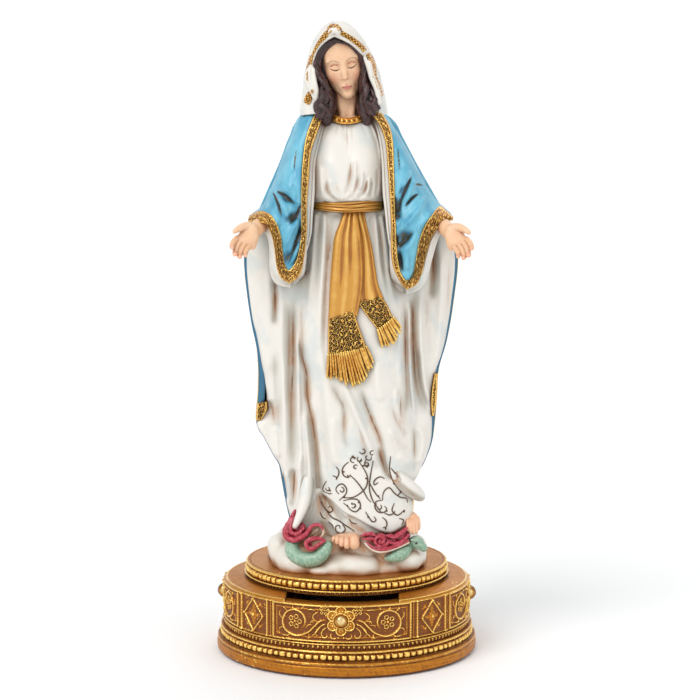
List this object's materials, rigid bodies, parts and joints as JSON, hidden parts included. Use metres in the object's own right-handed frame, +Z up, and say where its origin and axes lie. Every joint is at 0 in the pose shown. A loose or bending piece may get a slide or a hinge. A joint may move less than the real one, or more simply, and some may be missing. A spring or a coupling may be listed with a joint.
{
  "type": "devotional statue",
  "caption": "Veiled woman with open hands, standing on a rock with a serpent and roses, on a round gilt plinth that holds a keepsake drawer.",
  "frame": {"origin": "centre of the round resting face, on the underside of the felt pad", "axes": "+Z up; the figure and its drawer face -Y; +X is the viewer's right when looking at the front"},
  "size_m": [0.1262, 0.1262, 0.305],
  "materials": {
    "gilt_resin": "antiqued gold paint on cast resin",
    "bright_gilt": "bright gold paint on cast resin",
    "ivory_paint": "ivory paint with a tan wash",
    "blue_paint": "sky blue paint with a dark wash",
    "skin_paint": "satin",
    "hair_paint": "satin",
    "green_paint": "satin",
    "rose_paint": "satin",
    "drawer_wood": "satin",
    "lining": "felt",
    "base_felt": "felt",
    "steel": "satin"
  },
  "bodies": {
    "statue": {"felt_pad": "base_felt", "bottom_board": "drawer_wood", "drum": "gilt_resin", "upper_tier": "gilt_resin", "boss_left": "bright_gilt", "boss_right": "bright_gilt", "boss_rear": "bright_gilt", "rock": "ivory_paint", "serpent_coil": "green_paint", "serpent_head": "green_paint", "roses_left": "rose_paint", "roses_right": "rose_paint", "foot_left": "skin_paint", "foot_right": "skin_paint", "gown_skirt": "ivory_paint", "belt": "bright_gilt", "gown_bodice": "ivory_paint", "collar": "bright_gilt", "sash_long": "bright_gilt", "sash_short": "bright_gilt", "mantle": "blue_paint", "sleeve_left": "blue_paint", "sleeve_right": "blue_paint", "hand_left": "skin_paint", "hand_right": "skin_paint", "head": "skin_paint", "hair": "hair_paint", "veil": "ivory_paint"},
    "drawer": {"drawer_tray": "drawer_wood", "drawer_lining": "lining", "drawer_front": "gilt_resin", "drawer_pull": "bright_gilt", "pull_screw": "steel"}
  },
  "joints": [
    {"name": "drawer_slide", "type": "slide", "parent": "statue", "child": "drawer", "axis": [0, -1, 0], "range_m": [0, 0.055]}
  ]
}
